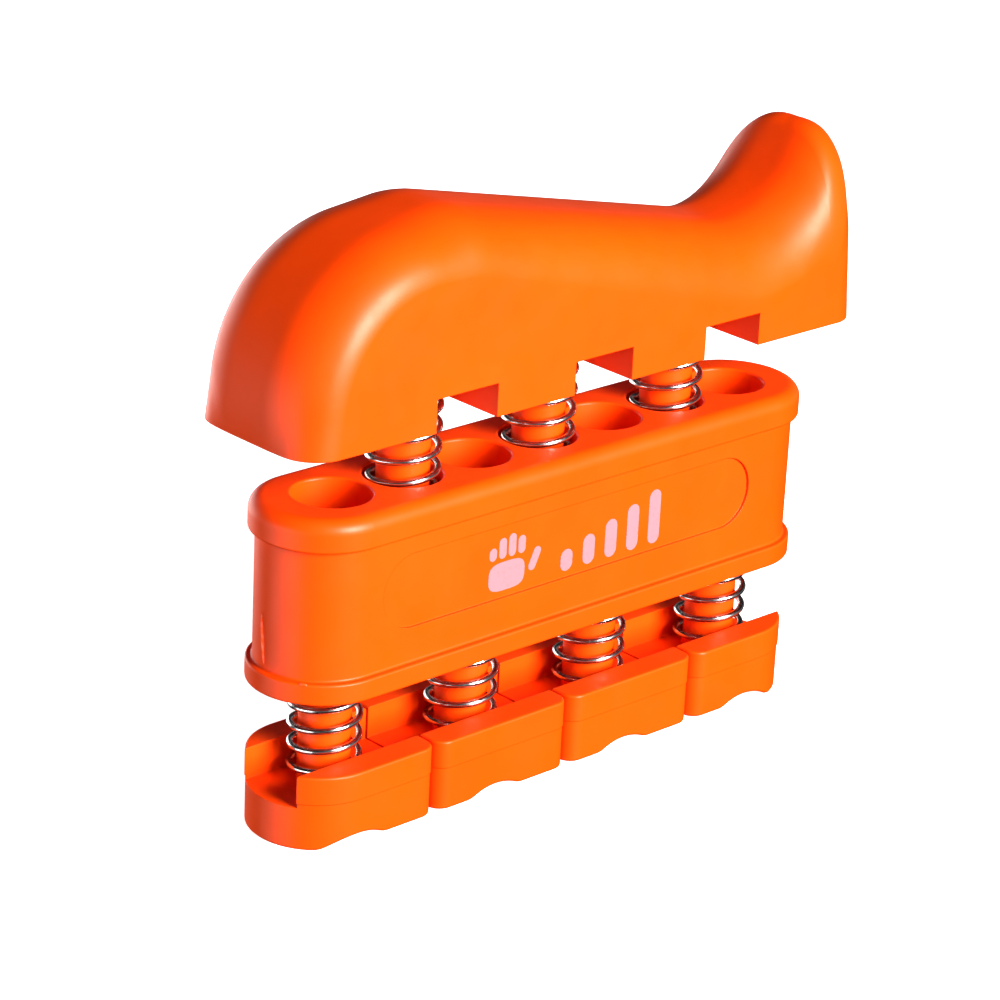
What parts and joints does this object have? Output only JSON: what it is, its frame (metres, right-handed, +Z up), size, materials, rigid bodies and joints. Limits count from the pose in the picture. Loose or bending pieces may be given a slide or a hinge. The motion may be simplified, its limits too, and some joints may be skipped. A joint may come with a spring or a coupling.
{
  "type": "finger exerciser",
  "caption": "Hand-held finger exerciser: a palm grip and sprung finger keys that slide on posts in a bored housing.",
  "frame": {"origin": "on the resting face, under the middle of the key row", "axes": "+X along the key row, towards the horn of the grip; -Y the front with the recessed panel; +Z up from the finger keys to the palm grip"},
  "size_m": [0.0922, 0.0218, 0.0763],
  "materials": {
    "orange_plastic": "semi-gloss moulded plastic",
    "spring_steel": "polished spring wire",
    "zinc_steel": "zinc plated"
  },
  "bodies": {
    "housing_body": {"housing": "orange_plastic", "key_spring_1": "spring_steel", "key_spring_2": "spring_steel", "key_spring_3": "spring_steel", "key_spring_4": "spring_steel", "palm_spring_1": "spring_steel", "palm_spring_2": "spring_steel", "palm_spring_3": "spring_steel"},
    "key_1": {"finger_key_1": "orange_plastic", "key_washer_1": "zinc_steel", "key_screw_1": "zinc_steel"},
    "key_2": {"finger_key_2": "orange_plastic", "key_washer_2": "zinc_steel", "key_screw_2": "zinc_steel"},
    "key_3": {"finger_key_3": "orange_plastic", "key_washer_3": "zinc_steel", "key_screw_3": "zinc_steel"},
    "key_4": {"finger_key_4": "orange_plastic", "key_washer_4": "zinc_steel", "key_screw_4": "zinc_steel"},
    "grip": {"palm_grip": "orange_plastic", "palm_washer_1": "zinc_steel", "palm_washer_2": "zinc_steel", "palm_washer_3": "zinc_steel", "palm_screw_1": "zinc_steel", "palm_screw_2": "zinc_steel", "palm_screw_3": "zinc_steel"}
  },
  "joints": [
    {"name": "key_1_press", "type": "slide", "parent": "housing_body", "child": "key_1", "axis": [0, 0, 1], "range_m": [0, 0.0085], "stiffness_N_per_m": 900, "springref_m": -0.004, "deforming": ["key_spring_1"]},
    {"name": "key_2_press", "type": "slide", "parent": "housing_body", "child": "key_2", "axis": [0, 0, 1], "range_m": [0, 0.0085], "stiffness_N_per_m": 900, "springref_m": -0.004, "deforming": ["key_spring_2"]},
    {"name": "key_3_press", "type": "slide", "parent": "housing_body", "child": "key_3", "axis": [0, 0, 1], "range_m": [0, 0.0085], "stiffness_N_per_m": 900, "springref_m": -0.004, "deforming": ["key_spring_3"]},
    {"name": "key_4_press", "type": "slide", "parent": "housing_body", "child": "key_4", "axis": [0, 0, 1], "range_m": [0, 0.0085], "stiffness_N_per_m": 900, "springref_m": -0.004, "deforming": ["key_spring_4"]},
    {"name": "palm_press", "type": "slide", "parent": "housing_body", "child": "grip", "axis": [0, 0, -1], "range_m": [0, 0.0085], "stiffness_N_per_m": 2700, "springref_m": -0.004, "deforming": ["palm_spring_1", "palm_spring_2", "palm_spring_3"]}
  ]
}
